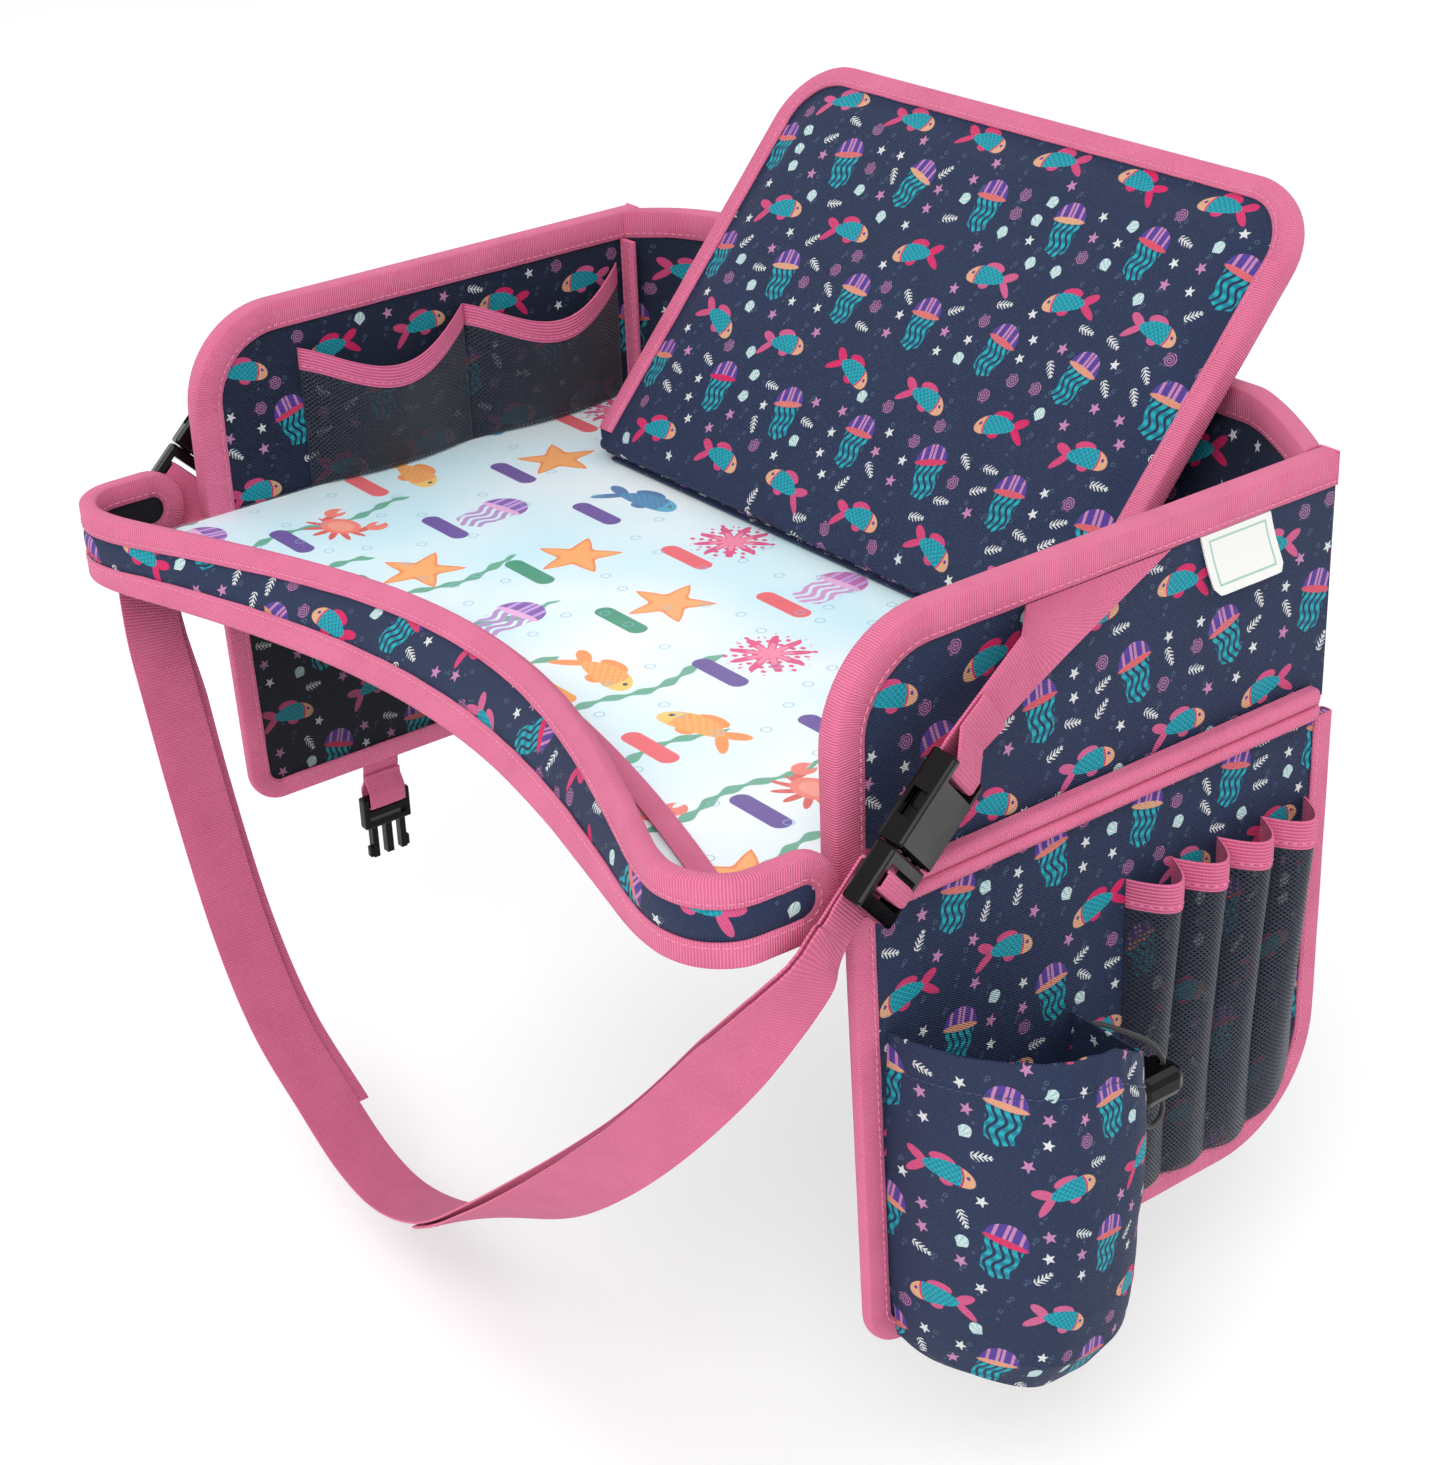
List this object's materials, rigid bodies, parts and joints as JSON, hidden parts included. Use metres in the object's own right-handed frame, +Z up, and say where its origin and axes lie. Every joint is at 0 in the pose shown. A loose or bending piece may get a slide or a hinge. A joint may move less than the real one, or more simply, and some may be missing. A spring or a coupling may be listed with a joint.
{
  "type": "car seat tray table",
  "caption": "Soft-walled lap tray for a child's car seat, with a leaning tablet panel, net pockets, hanging side flaps, a bottle pouch and a buckled waist strap.",
  "frame": {"origin": "middle of the tray's flat underside, half way between the side walls and half way between the back wall's foot and the front ends of the side walls", "axes": "+Z up, +X to the tray's right side with the bottle pouch, -Y towards the child"},
  "size_m": [0.5129, 0.3504, 0.3947],
  "materials": {
    "pink_grosgrain": "ribbed woven tape and webbing",
    "printed_twill": null,
    "dark_lining": "plain dark lining",
    "navy_net": "open knitted net",
    "board": "hollow plastic board and foam",
    "play_sheet": "printed coated sheet",
    "clear_film": "clear soft film",
    "black_plastic": "moulded, glossy",
    "white_tag": "blank woven tag",
    "black_cord": "braided cord"
  },
  "bodies": {
    "tray": {"back_net": "navy_net", "back_net_elastic": "pink_grosgrain", "back_wall_binding": "pink_grosgrain", "back_wall_board": "board", "back_wall_inner": "printed_twill", "back_wall_outer": "printed_twill", "base_cover": "dark_lining", "blank_tag": "white_tag", "clear_cover": "clear_film", "cover_tape": "pink_grosgrain", "front_net": "navy_net", "front_net_elastic": "pink_grosgrain", "left_anchor_webbing": "pink_grosgrain", "left_buckle_female": "black_plastic", "left_corner_tape": "pink_grosgrain", "left_seam_roll": "pink_grosgrain", "left_wall_binding": "pink_grosgrain", "left_wall_board": "board", "left_wall_inner": "printed_twill", "left_wall_outer": "printed_twill", "panel_hinge_strip": "dark_lining", "play_sheet": "play_sheet", "right_anchor_webbing": "pink_grosgrain", "right_buckle_female": "black_plastic", "right_corner_tape": "pink_grosgrain", "right_seam_roll": "pink_grosgrain", "right_wall_binding": "pink_grosgrain", "right_wall_board": "board", "right_wall_inner": "printed_twill", "right_wall_outer": "printed_twill", "rim_binding": "pink_grosgrain", "rim_lining": "dark_lining", "rim_pad": "printed_twill", "tray_board": "board"},
    "right_flap": {"right_flap_panel": "printed_twill", "right_flap_lining": "printed_twill", "right_flap_binding": "pink_grosgrain", "bottle_pouch": "printed_twill", "marker_net": "navy_net", "marker_elastic": "pink_grosgrain", "cord_lock_barrel": "black_plastic", "drawcord": "black_cord"},
    "left_flap": {"left_flap_panel": "printed_twill", "left_flap_lining": "printed_twill", "left_flap_binding": "pink_grosgrain"},
    "tablet_panel": {"panel_pad": "printed_twill", "panel_board": "board", "panel_back": "printed_twill", "panel_binding": "pink_grosgrain"},
    "waist_belt": {"waist_strap": "pink_grosgrain", "right_buckle_male": "black_plastic", "left_buckle_male": "black_plastic"},
    "left_tab": {"left_clip_webbing": "pink_grosgrain", "left_clip_male": "black_plastic"},
    "right_tab": {"right_clip_webbing": "pink_grosgrain", "right_clip_female": "black_plastic"},
    "lock_plunger": {"cord_lock_plunger": "black_plastic"}
  },
  "joints": [
    {"name": "right_flap_hinge", "type": "hinge", "parent": "tray", "child": "right_flap", "pos_m": [0.21, 0, -0.0045], "axis": [0, 1, 0], "range_deg": [0, 70]},
    {"name": "left_flap_hinge", "type": "hinge", "parent": "tray", "child": "left_flap", "pos_m": [-0.21, 0, -0.0045], "axis": [0, -1, 0], "range_deg": [0, 70]},
    {"name": "tablet_panel_hinge", "type": "hinge", "parent": "tray", "child": "tablet_panel", "pos_m": [0, 0.049, 0.0171], "axis": [1, 0, 0], "range_deg": [0, 120]},
    {"name": "waist_buckles_slide", "type": "slide", "parent": "tray", "child": "waist_belt", "axis": [0, -0.7218, -0.6921], "range_m": [0, 0.04]},
    {"name": "left_tab_hinge", "type": "hinge", "parent": "left_flap", "child": "left_tab", "pos_m": [-0.21, -0.041, -0.1346], "axis": [0, 1, 0], "range_deg": [-40, 40]},
    {"name": "right_tab_hinge", "type": "hinge", "parent": "right_flap", "child": "right_tab", "pos_m": [0.20755, -0.041, -0.0795], "axis": [0, 1, 0], "range_deg": [0, 40]},
    {"name": "lock_plunger_slide", "type": "slide", "parent": "right_flap", "child": "lock_plunger", "axis": [1, 0, 0], "range_m": [0, 0.002], "stiffness_N_per_m": 800, "springref_m": -0.002}
  ]
}
